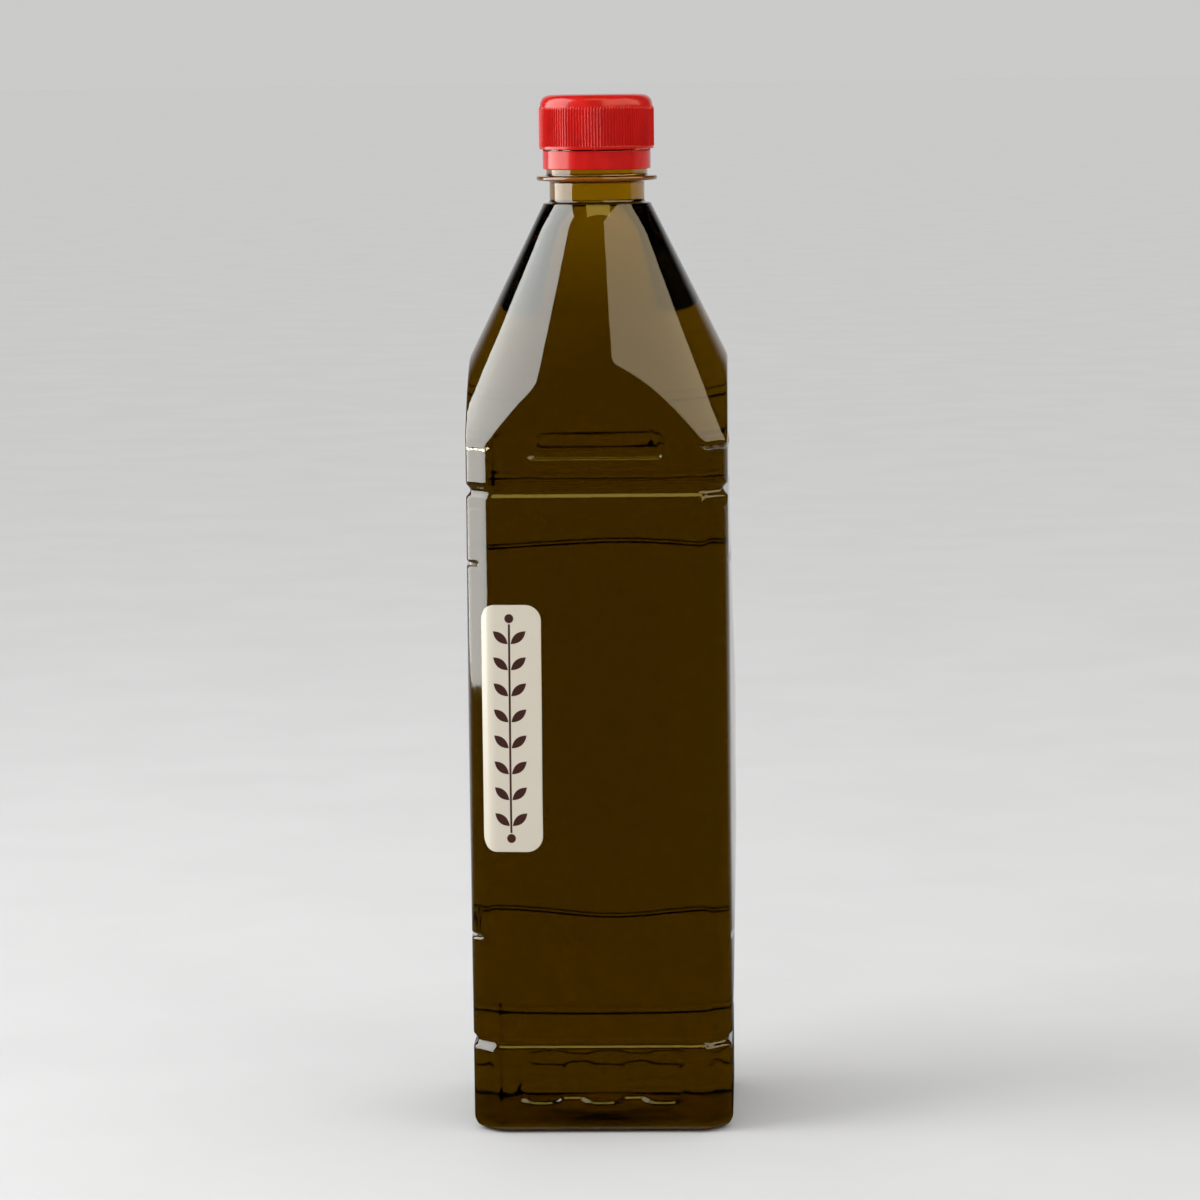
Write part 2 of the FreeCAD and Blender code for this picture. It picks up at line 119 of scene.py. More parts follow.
class ClosureSizes(bpy.types.PropertyGroup):
    """Sizes of the cap and the tamper band."""

    cap_dia: length("Cap", "Diameter of the cap between its ribs", 0.0305)
    cap_top: length("Cap top", "Top of the cap", 0.2778)
    cap_low: length("Cap foot", "Lower edge of the cap", 0.2632)
    cap_round: length("Cap radius", "Between the cap's top and its skirt", 0.0027)
    lip_dia: length("Lip", "Diameter of the plain lip at the cap's foot", 0.0310)
    lip_tall: length("Lip height", "Height of that lip", 0.0009)
    rib_count: IntProperty(name="Ribs", description="Number of ribs round the cap", default=120, min=3)
    rib_high: length("Rib height", "How far a rib stands out", 0.00034)
    rib_wide: length("Rib width", "Width of a rib at its foot", 0.0005)
    rib_gap: length("Rib gap", "Plain skirt left over the ribs", 0.0005)
    cap_bore: length("Cap bore", "Inside diameter of the cap and the band", 0.0277)
    gate_dia: length("Gate mark", "Diameter of the moulding mark on the cap's top", 0.0016)
    band_dia: length("Band", "Diameter of the tamper band", 0.0292)
    band_low: length("Band foot", "Lower edge of the tamper band", 0.2578)
    band_gap: length("Band gap", "Gap between the band and the cap", 0.0003)
    bridge_count: IntProperty(name="Bridges", description="Number of bridges under the cap", default=8, min=3)
    bridge_wide: length("Bridge width", "Width of a bridge", 0.0009)


class StickerSizes(bpy.types.PropertyGroup):
    """Sizes of the sticker."""

    low: length("Foot", "Lower edge of the sticker", 0.0769)
    high: length("Head", "Upper edge of the sticker", 0.1434)
    right: length("Right edge", "Distance of the right edge from the middle of the face", 0.0147)
    wrap: length("Wrap", "How far it reaches round the corner, across the face", 0.0020)
    round: length("Corner radius", "Radius of the sticker's corners", 0.0044)
    thick: length("Thickness", "Thickness of the sticker", 0.00012)


class BottleColours(bpy.types.PropertyGroup):
    """Colours of the finishes and the stage."""

    plastic: colour("Clear plastic", "Olive tint of the bottle's wall", (0.79, 0.56, 0.15))
    # Painted reflection: this ring colour stands in for the red cap mirrored in the clear support ring and for the
    # oil seen through it.
    ring: colour("Support ring", "Tint of the support ring, which picks up the cap and the oil", (0.50, 0.17, 0.025))
    oil: colour("Oil", "Light that the oil lets through, for the absorption below", (0.877, 0.872, 0.500))
    oil_density: FloatProperty(name="Oil density", description="How strongly the oil absorbs", default=260.0)
    cap: colour("Cap", "Red of the cap and the band", (0.62, 0.010, 0.007))
    paper: colour("Sticker", "Cream of the sticker", (0.66, 0.60, 0.49))
    print: colour("Print", "Dark brown of the ornament", (0.045, 0.012, 0.008))
    floor: colour("Floor", "Pale floor and backdrop", (0.70, 0.70, 0.695))


# --- shader maths ---------------------------------------------------------------------------------
class Value:
    """A socket that can be used in Python expressions."""

    def __init__(self, tree, socket):
        self.tree = tree
        self.socket = socket

    def maths(self, operation, *others):
        """Add a Math node on this value and others."""
        return self.tree.node("ShaderNodeMath", {"operation": operation}, {
            index: other for index, other in enumerate((self, *others))
        })

    def __add__(self, other):
        return self.maths("ADD", other)

    def __mul__(self, other):
        return self.maths("MULTIPLY", other)

    def __sub__(self, other):
        return self.maths("SUBTRACT", other)

    def __truediv__(self, other):
        return self.maths("DIVIDE", other)

    def __rsub__(self, other):
        return self.tree.node("ShaderNodeMath", {"operation": "SUBTRACT"}, {0: other, 1: self})

    __radd__ = __add__
    __rmul__ = __mul__

    def step(self, low, high):
        """Rise smoothly from 0 at low to 1 at high."""
        return self.tree.node("ShaderNodeMapRange", {"interpolation_type": "SMOOTHSTEP"}, {
            "Value": self, "From Min": low, "From Max": high,
        })


class Finish:
    """A material under construction."""

    def __init__(self, name):
        self.material = bpy.data.materials.new(name)
        self.material.use_nodes = True
        self.nodes = self.material.node_tree.nodes
        self.links = self.material.node_tree.links
        self.nodes.clear()
        self.output = self.nodes.new("ShaderNodeOutputMaterial")

    def node(self, kind, settings=None, sockets=None, out=0):
        """Add a node, set it up, feed its sockets and give one of its outputs."""
        made = self.nodes.new(kind)
        for name, setting in (settings or {}).items():
            if name == "stops":
                ramp = made.color_ramp
                while len(ramp.elements) < len(setting):
                    ramp.elements.new(0.5)
                for element, (place, tone) in zip(ramp.elements, setting):
                    element.position = place
                    element.color = (*tone, 1) if len(tone) == 3 else tone
            else:
                setattr(made, name, setting)
        for name, value in (sockets or {}).items():
            socket = made.inputs[name]
            if isinstance(value, Value):
                self.links.new(value.socket, socket)
            elif isinstance(value, (tuple, list)) and socket.type == "RGBA" and len(value) == 3:
                socket.default_value = (*value, 1)
            else:
                socket.default_value = value
        return Value(self, made.outputs[out])

    def place(self, scale=(1, 1, 1)):
        """Give the piece's own coordinates, scaled."""
        spot = self.node("ShaderNodeTexCoord", out="Object")
        return self.node("ShaderNodeMapping", None, {"Vector": spot, "Scale": scale})

    def noise(self, where, scale, detail=2.0, rough=0.5):
        """Give a soft random value over a place."""
        return self.node("ShaderNodeTexNoise", None, {
            "Vector": where, "Scale": scale, "Detail": detail, "Roughness": rough,
        })

    def blend(self, share, first, second):
        """Blend two colours by a share."""
        mix = self.nodes.new("ShaderNodeMix")
        mix.data_type = "RGBA"
        for socket, value in ((mix.inputs[0], share), (mix.inputs[6], first), (mix.inputs[7], second)):
            if isinstance(value, Value):
                self.links.new(value.socket, socket)
            elif socket.type == "RGBA":
                socket.default_value = (*value, 1)
            else:
                socket.default_value = value
        return Value(self, mix.outputs[2])

    def bump(self, height, strength, distance):
        """Turn a height into a normal."""
        return self.node("ShaderNodeBump", None, {
            "Height": height, "Strength": strength, "Distance": distance,
        })

    def surface(self, shader):
        """Use a shader as the surface."""
        self.links.new(shader.socket, self.output.inputs["Surface"])
        return self.material

    def volume(self, shader):
        """Use a shader as the volume."""
        self.links.new(shader.socket, self.output.inputs["Volume"])
        return self.material


def clear_plastic(colours, name):
    """Clear blown plastic; its wetted side meets oil, so it hardly reflects there, and its support ring carries a
    painted reflection: a red-amber tint for the cap mirrored in it and the oil seen through it.
    """
    finish = Finish(name)
    where = finish.place((1, 1, 0.35))
    ripple = finish.noise(where, 60, 2.0) + 0.05 * finish.noise(finish.place((1, 1, 0.25)), 520, 2.0)
    # On the support ring the tint is a painted reflection of the cap and painted colour of the oil behind it.
    tint = colours.ring if name.endswith("ring") else colours.plastic
    sockets = {
        "Base Color": tuple(tint), "Roughness": 0.03, "IOR": 1.57, "Transmission Weight": 1.0,
        "Normal": finish.bump(ripple, 0.12, 0.0006),
    }
    # The ring is made less see-through so that its painted red-amber reflection shows as colour.
    if name.endswith("ring"):
        sockets["Transmission Weight"] = 0.7
    if name.endswith("wetted"):
        sockets["Specular Tint"] = (0.0, 0.0, 0.0)
    return finish.surface(finish.node("ShaderNodeBsdfPrincipled", None, sockets))


def olive_oil(colours):
    """Clear golden-green oil, dark where it is thick."""
    finish = Finish("olive_oil")
    finish.surface(finish.node("ShaderNodeBsdfPrincipled", None, {
        "Base Color": (1.0, 1.0, 1.0), "Roughness": 0.0, "IOR": 1.47, "Transmission Weight": 1.0,
        "Specular Tint": (0.0, 0.0, 0.0),
    }))
    return finish.volume(finish.node("ShaderNodeVolumeAbsorption", None, {
        "Color": tuple(colours.oil), "Density": colours.oil_density,
    }))


def red_plastic(colours, name):
    """Glossy moulded red plastic with a faint flow pattern."""
    finish = Finish(name)
    where = finish.place((1, 1, 0.4))
    flow = finish.noise(where, 240, 3.0)
    grain = finish.noise(finish.place(), 2600, 2.0)
    red = tuple(colours.cap)
    deep = tuple(0.82 * part for part in red)
    tone = finish.blend(flow.step(0.3, 0.7), deep, red)
    return finish.surface(finish.node("ShaderNodeBsdfPrincipled", None, {
        "Base Color": tone, "Roughness": 0.15 + 0.08 * flow, "IOR": 1.45, "Specular IOR Level": 0.42,
        "Normal": finish.bump(grain, 0.05, 0.00003),
    }))


def cream_paper(colours):
    """Cream coated paper with a printed sprig of small leaves down its middle."""
    finish = Finish("cream_paper")
    spot = finish.node("ShaderNodeUVMap", {"uv_map": "flat"})
    split = finish.nodes.new("ShaderNodeSeparateXYZ")
    finish.links.new(spot.socket, split.inputs[0])
    across = Value(finish, split.outputs[0])
    along = Value(finish, split.outputs[1])
    fibre = finish.noise(spot, 900, 3.0)
    tone = finish.blend(fibre.step(0.25, 0.75), tuple(0.93 * part for part in colours.paper), tuple(colours.paper))
    ink = sprig(across, along)
    print_tone = finish.blend(fibre.step(0.3, 0.7), tuple(colours.print), tuple(1.5 * part for part in colours.print))
    return finish.surface(finish.node("ShaderNodeBsdfPrincipled", None, {
        "Base Color": finish.blend(ink, tone, print_tone), "Roughness": 0.50 - 0.15 * ink, "IOR": 1.45,
        "Coat Weight": 0.8, "Coat Roughness": 0.22,
        "Normal": finish.bump(fibre, 0.1, 0.00003),
    }))


def sprig(across, along):
    """Mark a stem with pairs of pointed leaves; across and along are millimetres on the sticker."""
    pitch = 7.0
    reach = 28.0
    cell = (along / pitch).maths("FRACT") * pitch - pitch / 2
    side = across.maths("ABSOLUTE")
    turn = math.radians(40)
    out = (side - 2.45) * math.cos(turn) + cell * math.sin(turn)
    up = (cell * math.cos(turn) - (side - 2.45) * math.sin(turn)).maths("ABSOLUTE")
    leaf = 1 - ((out * out) / 7.3 + up / 1.15).step(0.93, 1.03)
    stem = 1 - side.step(0.24, 0.34)
    within = 1 - along.maths("ABSOLUTE").step(reach, reach + 0.2)
    berry_along = along.maths("ABSOLUTE") - (reach + 1.6)
    berry = 1 - (side * side + berry_along * berry_along).step(1.3, 1.7)
    return (leaf.maths("MAXIMUM", stem) * within).maths("MAXIMUM", berry)


# --- form of the bottle ----------------------------------------------------------------------------
def soft_least(first, second, width):
    """Give the lesser of two arrays, rounded where they meet."""
    share = np.clip(0.5 + 0.5 * (second - first) / width, 0, 1)
    return second * (1 - share) + first * share - width * share * (1 - share)


def rise(value, low, high):
    """Rise smoothly from 0 to 1."""
    share = np.clip((value - low) / (high - low), 0, 1)
    return share * share * (3 - 2 * share)


class Form:
    """The outside of the bottle's body as a distance from its axis."""

    def __init__(self, sizes):
        self.s = sizes
        self.half = sizes.body_side / 2
        self.flat = self.half - sizes.corner_leg
        self.corner = (self.half + self.flat) / math.sqrt(2)

    def groove(self, height):
        """Give how deep the two grooves are at a height."""
        deep = 0
        for middle in (self.s.lower_groove_z, self.s.waist_groove_z):
            share = np.clip(np.abs(height - middle) / self.s.groove_half, 0, 1)
            deep = deep + self.s.groove_deep * np.cos(share * math.pi / 2) ** GROOVE_SHARPNESS
        return deep

    def pressed(self, across, height, inside):
        """Give how deep the slot and the chain of ovals are at a spot on a face; the inside is softer."""
        s = self.s
        low, high = (-0.0001, 0.0016) if inside else (-0.0006, 0.0002)
        reach = s.slot_long / 2 - s.slot_tall / 2
        off = np.hypot(np.maximum(np.abs(across) - reach, 0), height - s.slot_z) - s.slot_tall / 2
        slot = s.slot_deep * (1 - rise(off, low, high))
        up = height - s.oval_z
        chain = np.where(np.abs(across) < s.oval_pitch, np.abs(up) - s.link_tall / 2, 1.0)
        for step in (-1, 0, 1):
            along = np.abs((across - step * s.oval_pitch) / (s.oval_long / 2)) ** OVAL_SQUARENESS
            ring = (along + np.abs(up / (s.oval_tall / 2)) ** OVAL_SQUARENESS) ** (1 / OVAL_SQUARENESS)
            chain = soft_least(chain, (ring - 1) * s.oval_tall / 2, 0.0006)
        ovals = s.oval_deep * (1 - rise(chain, low, high))
        return slot + ovals

    def swell(self, across, height):
        """Give how far the tall panel swells out at a spot."""
        s = self.s
        low = s.lower_groove_z + s.groove_half
        high = s.waist_groove_z - s.groove_half
        share = np.clip((height - low) / (high - low), 0, 1)
        middle = np.sin(math.pi * share) ** 0.9 * (1 - np.clip(across / self.flat, -1, 1) ** 2)
        wave = np.sin(across / 0.0085 + height / 0.031) * np.sin(height / 0.0105 + across / 0.05)
        return middle * (s.panel_bow + s.panel_wave * wave)

    def field(self, turn, height):
        """Give how deep the lines of the label field are; the front face has none."""
        s = self.s
        deep = 0
        local = (np.degrees(turn) + 45) % 90 - 45
        for middle, sag in ((s.field_low_z, -s.field_sag), (s.field_high_z, s.field_sag * 0.6)):
            off = np.abs(height - middle - sag * np.cos(np.radians(local * 3.4 + 20)))
            deep = deep + s.field_deep * (1 - rise(off, s.field_line * 0.1, s.field_line * 0.6))
        return deep * rise(np.abs(np.degrees(turn)), 50.5, 51.5)

    def cone(self, height, inset):
        """Give the shoulder's radius at a height."""
        s = self.s
        radius = s.shoulder_top / 2 + s.shoulder_slope * (s.shoulder_z - height)
        return radius - inset * math.sqrt(1 + s.shoulder_slope ** 2)

    def prism(self, turn, height, inset, lines=True):
        """Give the distance of the square body's surface at a turn from the front."""
        s = self.s
        local = np.radians((np.degrees(turn) + 45) % 90 - 45)
        across = self.half * np.tan(local)
        inside = inset > 0
        bend = s.inner_round if inside else s.base_round
        foot = np.clip(bend - height, 0, bend)
        inset = inset + bend - np.sqrt(bend ** 2 - foot ** 2) + self.groove(height)
        if lines:
            inset = inset + self.field(turn, height)
        face = self.half - inset - self.pressed(across, height, inside) + self.swell(across, height)
        face = face / np.cos(local)
        corner = (self.corner - inset) / np.cos(np.abs(local) - math.pi / 4)
        return soft_least(face, corner, s.corner_soft)

    def crease(self, turn, inset):
        """Give the height at which the shoulder meets the square body."""
        s = self.s
        side = self.prism(turn, np.full_like(turn, s.shoulder_z), inset, False)
        run = side + inset * math.sqrt(1 + s.shoulder_slope ** 2) - s.shoulder_top / 2
        return s.shoulder_z - run / s.shoulder_slope


def turns(form):
    """Give the turns of the body's columns, closer together at the corners and the pressed shapes."""
    across = np.concatenate([
        np.linspace(0, 0.0245, 47)[:-1], np.linspace(0.0245, form.flat - 0.0016, 3)[:-1],
        np.linspace(form.flat - 0.0016, form.flat + 0.0014, 9),
    ])
    face = np.degrees(np.arctan(across / form.half))
    corner = np.linspace(face[-1], 45, 5)[1:]
    half = np.concatenate([face, corner])
    quarter = np.concatenate([-half[:0:-1], half[:-1]])
    return np.radians(np.concatenate([quarter + 90 * step for step in range(4)]))


def spans(*stretches):
    """Join stretches of heights, each given as (low, high, count)."""
    parts = [np.linspace(low, high, count, endpoint=False) for low, high, count in stretches]
    return np.concatenate([*parts, [stretches[-1][1]]])


def body_rows(form, columns, inset, fine):
    """Give rings of points up the body, from the rounded foot to the shoulder's top."""
    s = form.s
    low = s.lower_groove_z
    waist = s.waist_groove_z
    groove = s.groove_half
    share = 1.0 if fine else 0.5
    count = lambda number: max(2, int(round(number * share)))
    bend = s.inner_round if inset > 0 else s.base_round
    feet = inset + (1 - np.cos(np.radians(np.linspace(4, 88, 7)))) * (bend - inset)
    straight = spans(
        (bend, s.oval_z - s.oval_tall / 2 - 0.0006, count(4)),
        (s.oval_z - s.oval_tall / 2 - 0.0006, s.oval_z + s.oval_tall / 2 + 0.0006, count(22)),
        (s.oval_z + s.oval_tall / 2 + 0.0006, low - groove, count(4)),
        (low - groove, low + groove, count(11)),
        (low + groove, s.field_low_z - 0.0020, count(6)),
        (s.field_low_z - 0.0020, s.field_low_z + 0.0020, count(11)),
        (s.field_low_z + 0.0020, s.field_high_z - 0.0018, count(14)),
        (s.field_high_z - 0.0018, s.field_high_z + 0.0018, count(10)),
        (s.field_high_z + 0.0018, waist - groove, count(4)),
        (waist - groove, waist + groove, count(11)),
        (waist + groove, s.slot_z - s.slot_tall / 2 - 0.0007, count(5)),
        (s.slot_z - s.slot_tall / 2 - 0.0007, s.slot_z + s.slot_tall / 2 + 0.0004, count(13)),
    )
    rows = []
    for height in feet:
        level = np.full_like(columns, height)
        # inside, the foot's rings start at the floor, so their heights are stretched over the whole bend
        drop = (height - inset) * bend / (bend - inset)
        ring = form.prism(columns, np.full_like(columns, drop), inset, False)
        rows.append((ring, level))
    for height in straight:
        level = np.full_like(columns, height)
        rows.append((form.prism(columns, level, inset, fine), level))
    top = straight[-1]
    crease = form.crease(columns, inset)
    offsets = (0.0022, 0.0012, 0.0006, 0.0002)
    under = [top + (crease - offsets[0] - top) * part for part in np.linspace(0, 1, count(6))[1:]]
    near = [crease - off for off in offsets[1:]] + [crease] + [crease + off for off in offsets[::-1]]
    start = crease + offsets[0]
    end = s.shoulder_z - inset
    over = [start + (end - start) * part for part in np.linspace(0, 1, count(9))[1:]]
    for level in [*under, *near, *over]:
        side = form.prism(columns, level, inset, False)
        rows.append((soft_least(side, form.cone(level, inset), s.edge_soft), level))
    return rows


def ring_points(columns, radius, height):
    """Place a ring of points from its radii and heights."""
    radius = np.broadcast_to(radius, columns.shape)
    height = np.broadcast_to(height, columns.shape)
    return np.stack([radius * np.sin(columns), -radius * np.cos(columns), height], axis=1)


def new_piece(name, points, faces, materials):
    """Make a smooth mesh piece in the scene from its points and faces."""
    mesh = bpy.data.meshes.new(name)
    mesh.from_pydata([tuple(point) for point in points], [], faces)
    for material in materials:
        mesh.materials.append(material)
    mesh.polygons.foreach_set("use_smooth", [True] * len(faces))
    mesh.update()
    piece = bpy.data.objects.new(name, mesh)
    bpy.context.scene.collection.objects.link(piece)
    return piece


def skin(name, rings, caps, materials, slots=None):
    """Make a closed mesh from rings, capped at both ends; a ring may have a third of its neighbour's points."""
    starts = np.cumsum([0] + [len(ring) for ring in rings])
    points = np.concatenate([*rings, [caps[0]], [caps[1]]])
    faces = []
    marks = []
    for row, (lower, upper) in enumerate(zip(rings, rings[1:])):
        steps = min(len(lower), len(upper))
        low_skip, high_skip = len(lower) // steps, len(upper) // steps
        for step in range(steps):
            low = [starts[row] + (step * low_skip + off) % len(lower) for off in range(low_skip + 1)]
            high = [starts[row + 1] + (step * high_skip + off) % len(upper) for off in range(high_skip + 1)]
            faces.append((*low, *high[::-1]))
        marks.extend([slots[row] if slots else 0] * steps)
    for tip, row in ((len(points) - 2, 0), (len(points) - 1, len(rings) - 1)):
        count = len(rings[row])
        for step in range(count):
            here, there = starts[row] + step, starts[row] + (step + 1) % count
            faces.append((tip, there, here) if row == 0 else (tip, here, there))
        marks.extend([(slots[min(row, len(slots) - 1)]) if slots else 0] * count)
    piece = new_piece(name, points, [tuple(int(v) for v in face) for face in faces], materials)
    piece.data.polygons.foreach_set("material_index", marks)
    piece.data.validate()
    piece.data.update()
    return piece


def rounded(corners, steps=5):
    """Give a profile of (radius, height) points with each corner rounded by its own radius."""
    line = []
    for index, (across, up, soft) in enumerate(corners):
        here = Vector((across, up))
        if soft <= 0 or index in (0, len(corners) - 1):
            line.append(tuple(here))
            continue
        back = Vector(corners[index - 1][:2]) - here
        ahead = Vector(corners[index + 1][:2]) - here
        start = here + back.normalized() * min(soft, back.length * 0.49)
        end = here + ahead.normalized() * min(soft, ahead.length * 0.49)
        for step in range(steps + 1):
            share = step / steps
            line.append(tuple(start * (1 - share) ** 2 + here * 2 * share * (1 - share) + end * share ** 2))
    return held(line)


def held(line, least=0.0009, edge=0.0001):
    """Add points near both ends of each long stretch, so that it shades flat."""
    kept = [line[0]]
    for start, end in zip(line, line[1:]):
        run = math.hypot(end[0] - start[0], end[1] - start[1])
        if run > least:
            for share in (edge / run, 3 * edge / run, 0.5, 1 - 3 * edge / run, 1 - edge / run):
                kept.append((start[0] + (end[0] - start[0]) * share, start[1] + (end[1] - start[1]) * share))
        kept.append(end)
    return kept


def place(piece, slot, *nodes):
    """Let a finished piece stand for CAD nodes and ride on the one body."""
    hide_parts(*nodes)
    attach(piece, "root")
    return piece


class OILBOTTLE_OT_shell(bpy.types.Operator):
    """Build the clear bottle, outside and inside, with its neck and support ring"""

    bl_idname = "oilbottle.shell"
    bl_label = "Clear bottle"

    def execute(self, context):
        s = context.scene.bottle_sizes
        form = Form(s)
        columns = turns(form)
        coarse = columns[::3]
        rings = [ring_points(coarse, s.kick_top / 2 * share, s.kick_rise) for share in (0.35, 0.7, 0.96)]
        kick = rounded((
            (s.kick_top / 2, s.kick_rise, 0), (s.kick_top / 2 + 0.0008, s.kick_rise, 0.0008),
            (s.kick_dia / 2, 0, 0.0014), (s.kick_dia / 2 + 0.002, 0, 0),
        ), 3)
        rings += [ring_points(coarse, across, up) for across, up in kick]
        rings += [ring_points(columns, across, up) for across, up in body_rows(form, columns, 0.0, True)]
        neck = rounded((
            (s.shoulder_top / 2, s.shoulder_z, 0), (s.shoulder_top / 2 - 0.0002, s.shoulder_z + 0.0002, 0.0001),
            (s.neck_dia / 2, s.shoulder_z + 0.0004, 0.0007), (s.neck_dia / 2, s.ring_z - 0.0001, 0.0006),
            (s.ring_dia / 2, s.ring_z, 0.0005), (s.ring_dia / 2, s.ring_z + s.ring_thick, 0.0005),
            (s.finish_dia / 2, s.ring_z + s.ring_thick, 0.0005), (s.finish_dia / 2, s.rim_z, 0.0005),
            (s.bore_dia / 2, s.rim_z, 0.0005), (s.bore_dia / 2, s.shoulder_z - s.wall + 0.0006, 0.0008),
        ), 3)
        body = len(rings)
        rings += [ring_points(coarse, across, up) for across, up in neck[1:]]
        inner = len(rings) - 8
        collar = [body + index for index, (across, up) in enumerate(neck[1:]) if across > s.finish_dia / 2 + 0.0007]
        inside = body_rows(form, coarse, s.wall, False)[::-1]
        rings += [ring_points(coarse, across, up) for across, up in inside]
        rings += [ring_points(coarse, share * (s.kick_dia / 2 + s.wall), s.wall) for share in (1.08, 1.0)]
        rings += [ring_points(coarse, share * s.kick_top / 2, s.kick_rise + s.wall) for share in (1.0, 0.5)]
        # The support ring's rows take the ring finish, whose tint is a painted reflection of the cap and the oil.
        slots = [2 if row in collar else 0 if row < inner else 1 for row in range(len(rings) - 1)]
        colours = context.scene.bottle_colours
        finishes = [clear_plastic(colours, "clear_plastic"), clear_plastic(colours, "clear_plastic_wetted"),
                    clear_plastic(colours, "clear_plastic_ring")]
        piece = skin("bottle_shell", rings, ((0, 0, s.kick_rise), (0, 0, s.kick_rise + s.wall)), finishes, slots)
        place(piece, "clear_plastic", "bottle")
        return {"FINISHED"}


class OILBOTTLE_OT_oil(bpy.types.Operator):
    """Build the oil, which reaches just into the wall"""

    bl_idname = "oilbottle.oil"
    bl_label = "Oil"

    def execute(self, context):
        s = context.scene.bottle_sizes
        form = Form(s)
        columns = turns(form)[::3]
        inset = s.wall - s.oil_bite
        rings = [
            ring_points(columns, s.kick_top / 2 * 0.5, s.kick_rise + inset),
            ring_points(columns, s.kick_top / 2, s.kick_rise + inset),
            ring_points(columns, s.kick_dia / 2 + s.wall, inset),
            ring_points(columns, (s.kick_dia / 2 + s.wall) * 1.08, inset),
        ]
        rings += [ring_points(columns, across, up) for across, up in body_rows(form, columns, inset, False)]
        bore = s.bore_dia / 2 + s.oil_bite
        neck = rounded((
            (form.cone(s.shoulder_z - inset, inset), s.shoulder_z - inset, 0),
            (bore, s.shoulder_z - inset + 0.0002, 0.0008), (bore, s.oil_z, 0.0004), (bore * 0.6, s.oil_z, 0),
        ))
        rings += [ring_points(columns, across, up) for across, up in neck[1:]]
        ends = ((0, 0, s.kick_rise + inset), (0, 0, s.oil_z))
        piece = skin("oil_fill", rings, ends, [olive_oil(context.scene.bottle_colours)])
        place(piece, "olive_oil", "oil")
        return {"FINISHED"}


def lathe(line, count):
    """Turn a profile of (radius, height) points round the axis into rings of points."""
    columns = np.linspace(0, FULL_TURN, count, endpoint=False)
    return [ring_points(columns, across, up) for across, up in line]


class OILBOTTLE_OT_cap(bpy.types.Operator):
    """Build the ribbed screw cap"""

    bl_idname = "oilbottle.cap"
    bl_label = "Screw cap"

    def execute(self, context):
        c = context.scene.closure_sizes
        s = context.scene.bottle_sizes
        line = rounded((
            (c.gate_dia / 2, c.cap_top - 0.00012, 0), (c.gate_dia / 2 + 0.0008, c.cap_top - 0.00012, 0.0004),
            (c.gate_dia / 2 + 0.0011, c.cap_top, 0.0003),
            (c.cap_dia / 2, c.cap_top, c.cap_round * 1.25),
            (c.cap_dia / 2, c.cap_low + c.lip_tall, 0.0002),
            (c.lip_dia / 2, c.cap_low + c.lip_tall, 0.0003), (c.lip_dia / 2, c.cap_low, 0.0002),
            (c.cap_bore / 2, c.cap_low, 0.0002), (c.cap_bore / 2, s.rim_z, 0.0003),
            (c.cap_bore / 4, s.rim_z, 0),
        ), 8)
        red = red_plastic(context.scene.bottle_colours, "red_plastic")
        piece = skin("cap_shell", lathe(line, 240), ((0, 0, c.cap_top + 0.00002), (0, 0, s.rim_z)), [red])
        flip_if_inside_out(piece)
        rib_low = c.cap_low + c.lip_tall - 0.0001
        rib_high = c.cap_top - c.cap_round - c.rib_gap
        piece = with_repeats(piece, "cap_ribs", rib_mesh(c, rib_low, rib_high, red), c.rib_count, red)
        place(piece, "red_plastic", "cap")
        return {"FINISHED"}


def rib_mesh(c, low, high, red):
    """Make one upright rib with a rounded crest and a sloping head, rooted in the skirt."""
    base = c.cap_dia / 2 - 0.00025
    foot = c.cap_dia / 2
    tip = c.cap_dia / 2 + c.rib_high
    half = c.rib_wide / 2
    outline = ((base, -half), (foot, -half), (foot + (tip - foot) * 0.75, -half * 0.45), (tip, 0),
               (foot + (tip - foot) * 0.75, half * 0.45), (foot, half), (base, half))
    made = bmesh.new()
    rows = []
    for height, share in ((low, 1.0), (high - 0.0007, 1.0), (high, 0.15)):
        ring = [made.verts.new((foot + (across - foot) * (share if across > foot else 1), along, height))
                for across, along in outline]
        rows.append(ring)
    count = len(outline)
    for lower, upper in zip(rows, rows[1:]):
        for index in range(count):
            made.faces.new((lower[index], lower[(index + 1) % count], upper[(index + 1) % count], upper[index]))
    made.faces.new(rows[-1])
    made.faces.new(rows[0][::-1])
    bmesh.ops.recalc_face_normals(made, faces=made.faces)
    mesh = bpy.data.meshes.new("rib")
    made.to_mesh(mesh)
    made.free()
    mesh.materials.append(red)
    return mesh


def flip_if_inside_out(piece):
    """Turn a closed mesh's faces outward."""
    made = bmesh.new()
    made.from_mesh(piece.data)
    bmesh.ops.recalc_face_normals(made, faces=made.faces)
    if made.calc_volume(signed=True) < 0:
        bmesh.ops.reverse_faces(made, faces=made.faces)
    made.to_mesh(piece.data)
    made.free()


